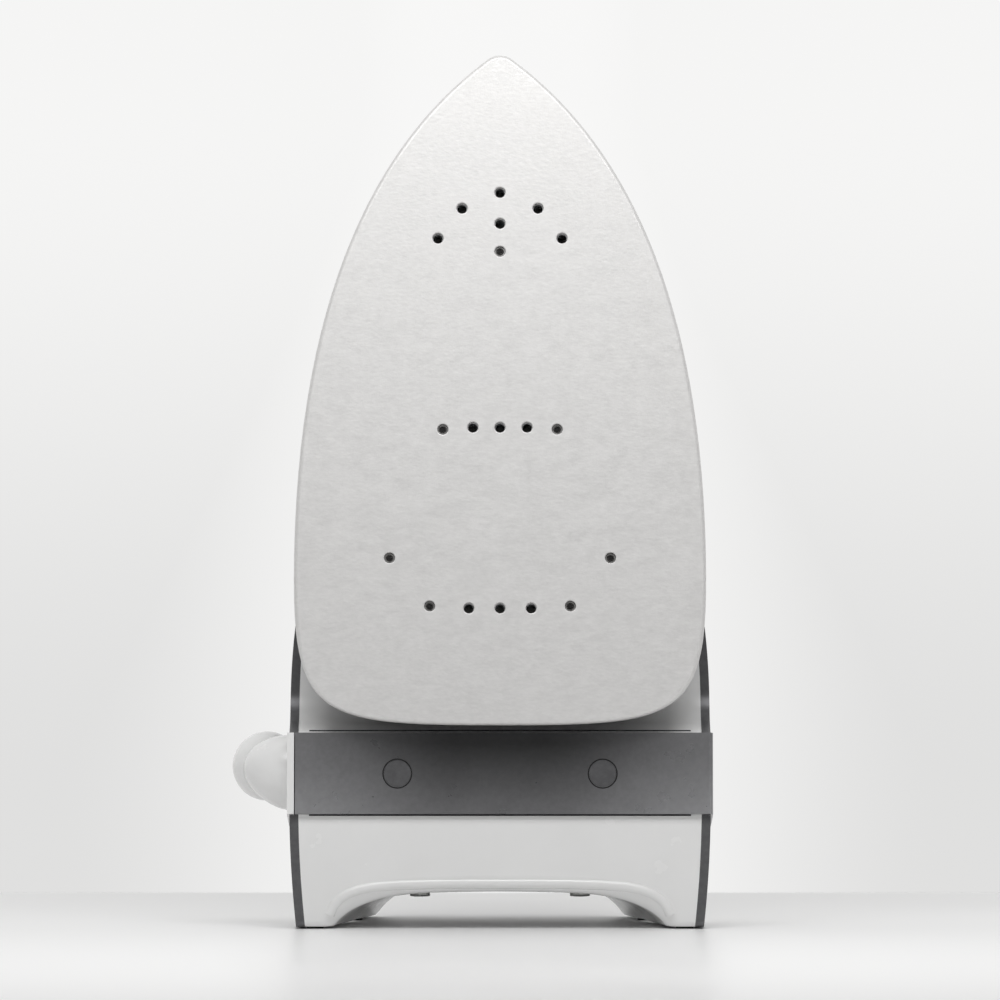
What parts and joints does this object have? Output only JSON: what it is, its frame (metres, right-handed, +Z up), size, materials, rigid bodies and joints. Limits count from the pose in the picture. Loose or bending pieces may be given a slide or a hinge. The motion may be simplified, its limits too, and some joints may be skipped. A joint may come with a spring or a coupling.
{
  "type": "clothes iron",
  "caption": "Steam iron standing on its heel: pointed sole with steam holes, open handle, dial, water tank, dark band across the heel and a swivelling cord outlet.",
  "frame": {"origin": "on the floor, at the middle of the heel's base between front and rear, in the iron's plane of symmetry", "axes": "+Z up, -Y out of the sole face (towards the viewer), +X across; the iron leans back 8 degrees towards +Y, and the cord outlet is on the -X side"},
  "size_m": [0.144, 0.1541, 0.2616],
  "materials": {
    "sole_coating": "satin, fine horizontal texture",
    "rivet_steel": "satin",
    "casting": "as cast",
    "element_steel": "heat-darkened",
    "gasket": "matt silicone",
    "plate_steel": "zinc plated",
    "skirt_plastic": "heat-proof, matt",
    "white_plastic": "glossy",
    "grey_trim": "satin metallic grey",
    "tank_plastic": "smoky, clear",
    "dark_plastic": "satin",
    "soft_grip": "soft touch, matt",
    "inner_plastic": "matt",
    "seal_rubber": "matt",
    "spring_steel": "bright wire",
    "brass": "bright",
    "lens": "tinted, clear",
    "lamp_glass": "clear",
    "wire_cover": "matt",
    "ceramic": "matt ceramic"
  },
  "bodies": {
    "iron": {"soleplate": "sole_coating", "soleplate_rivets": "rivet_steel", "heater_casting": "casting", "heating_element": "element_steel", "chamber_gasket": "gasket", "chamber_cover": "plate_steel", "skirt": "skirt_plastic", "skirt_screws": "plate_steel", "thermostat": "ceramic", "thermal_fuse": "ceramic", "body_shell": "white_plastic", "water_tank": "tank_plastic", "saddle_cover": "white_plastic", "dial_bezel": "grey_trim", "filler_neck": "inner_plastic", "flap_pin": "plate_steel", "spray_nozzle": "dark_plastic", "drip_valve": "inner_plastic", "left_cheek": "grey_trim", "right_cheek": "grey_trim", "heel_body": "white_plastic", "heel_foot": "white_plastic", "heel_screws": "plate_steel", "heel_band": "grey_trim", "screw_covers": "grey_trim", "band_screws": "plate_steel", "cord_outlet_plate": "white_plastic", "cord_hood": "white_plastic", "handle_frame": "white_plastic", "handle_cover": "grey_trim", "grip_pad": "soft_grip", "spray_pump": "inner_plastic", "spray_dip_tube": "inner_plastic", "spray_spring": "spring_steel", "steam_pump": "inner_plastic", "steam_dip_tube": "inner_plastic", "steam_spring": "spring_steel", "indicator_lens": "lens", "indicator_lamp": "lamp_glass", "foot_pads": "seal_rubber", "terminal_block": "inner_plastic", "cord_clamp": "dark_plastic", "supply_lead": "wire_cover", "lamp_lead": "wire_cover", "heater_leads": "wire_cover"},
    "dial": {"temperature_dial": "grey_trim", "dial_shaft": "plate_steel"},
    "flap": {"filler_flap": "tank_plastic"},
    "slider": {"steam_slider": "dark_plastic", "steam_link": "inner_plastic"},
    "needle": {"steam_needle": "plate_steel"},
    "steam_plunger": {"steam_button": "dark_plastic", "steam_piston": "seal_rubber"},
    "spray_plunger": {"spray_button": "dark_plastic", "spray_piston": "seal_rubber"},
    "cord_ball": {"cord_ball": "white_plastic"},
    "cord_collar": {"cord_collar": "dark_plastic"}
  },
  "joints": [
    {"name": "dial_turn", "type": "hinge", "parent": "iron", "child": "dial", "pos_m": [0, 0.02394, 0.12724], "axis": [0, 0.9903, -0.1392], "range_deg": [0, 270]},
    {"name": "flap_hinge", "type": "hinge", "parent": "iron", "child": "flap", "pos_m": [0, 0.02464, 0.20911], "axis": [-1, 0, 0], "range_deg": [0, 95]},
    {"name": "steam_slide", "type": "slide", "parent": "iron", "child": "slider", "axis": [1, 0, 0], "range_m": [-0.007, 0.007]},
    {"name": "needle_lift", "type": "slide", "parent": "iron", "child": "needle", "axis": [0, 0.9903, -0.1392], "range_m": [-0.001, 0.001]},
    {"name": "steam_press", "type": "slide", "parent": "iron", "child": "steam_plunger", "axis": [0, -0.9903, 0.1392], "range_m": [0, 0.004], "stiffness_N_per_m": 400, "springref_m": -0.002, "deforming": ["steam_spring"]},
    {"name": "spray_press", "type": "slide", "parent": "iron", "child": "spray_plunger", "axis": [0, -0.9903, 0.1392], "range_m": [0, 0.004], "stiffness_N_per_m": 400, "springref_m": -0.002, "deforming": ["spray_spring"]},
    {"name": "cord_tilt", "type": "hinge", "parent": "iron", "child": "cord_ball", "pos_m": [-0.07, -0.02253, 0.04804], "axis": [1, 0, 0], "range_deg": [-30, 30]},
    {"name": "cord_swing", "type": "hinge", "parent": "cord_ball", "child": "cord_collar", "pos_m": [-0.07, -0.02253, 0.04804], "axis": [0, 0.1392, 0.9903], "range_deg": [0, 60]}
  ],
  "couplings": [
    {"joint": "needle_lift", "follows": "steam_slide", "ratio": 0.14286}
  ]
}
